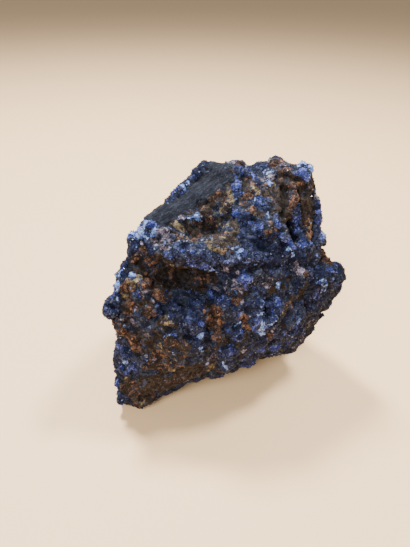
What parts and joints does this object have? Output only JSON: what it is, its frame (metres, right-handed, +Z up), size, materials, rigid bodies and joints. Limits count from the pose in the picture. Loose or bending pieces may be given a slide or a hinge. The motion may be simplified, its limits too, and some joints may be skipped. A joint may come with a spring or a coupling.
{
  "type": "rough lapis blue mineral specimen",
  "caption": "Rough hand specimen of dark rock crusted with deep blue crystals and rust-coloured iron ore, standing on its own worn underside.",
  "frame": {"origin": "on the ground under the middle of the stone, with the stone standing on the three worn patches of its underside", "axes": "+Z up; +X along the longest side, towards the low right shoulder; -Y is the front, the crusted face under the ledge"},
  "size_m": [0.11, 0.084, 0.107],
  "materials": {
    "crusted_rock": "rough crystalline crust, deep blue over rust brown and dark rock, with small glassy glints"
  },
  "bodies": {
    "root": {"stone": "crusted_rock"}
  },
  "joints": []
}
